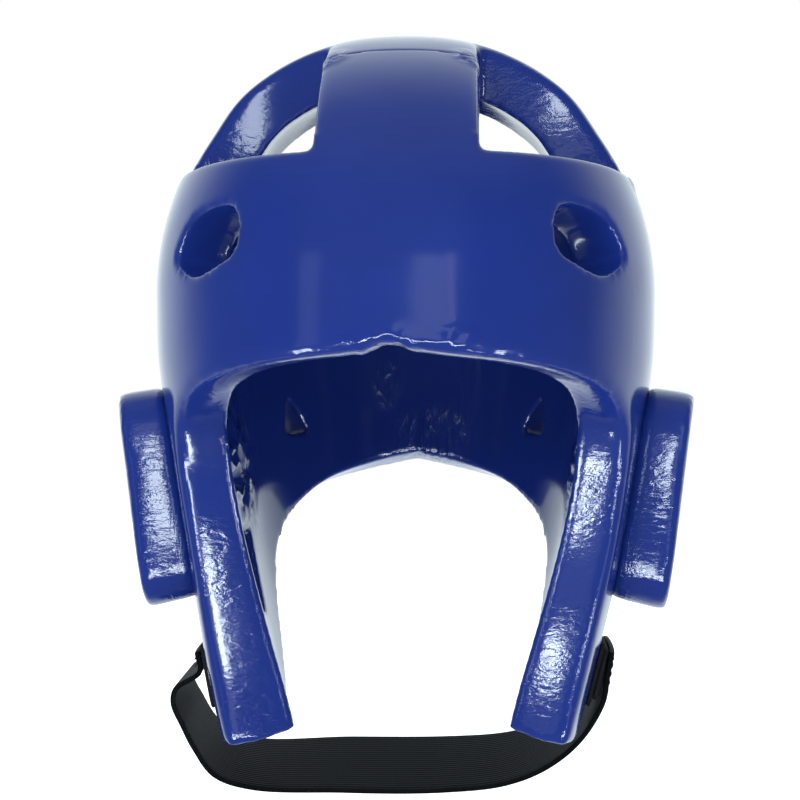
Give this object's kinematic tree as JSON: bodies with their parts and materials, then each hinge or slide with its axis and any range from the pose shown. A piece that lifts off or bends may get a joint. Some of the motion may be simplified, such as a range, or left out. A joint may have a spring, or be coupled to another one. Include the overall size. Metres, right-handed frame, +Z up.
{
  "type": "taekwondo headgear",
  "caption": "Open-faced sparring head guard of thick glossy dipped foam with a plus-shaped crown pad, vent holes, ear pads and an elastic chin strap.",
  "frame": {"origin": "where the top of the wearer's head touches the inner face of the crown pad", "axes": "+Z up out of the crown, the face looks along -Y, +X is the wearer's left"},
  "size_m": [0.222, 0.2346, 0.2907],
  "materials": {
    "blue_vinyl": "glossy dipped vinyl over foam",
    "hook_and_loop": "matte hook-and-loop tape",
    "webbing": "ribbed elastic webbing"
  },
  "bodies": {
    "root": {"head_shell": "blue_vinyl", "crown_pad": "blue_vinyl", "ear_pad_left": "blue_vinyl", "ear_pad_right": "blue_vinyl", "anchor_patch_left": "hook_and_loop", "anchor_patch_right": "hook_and_loop", "strap_tab": "hook_and_loop", "chin_strap": "webbing"}
  },
  "joints": []
}
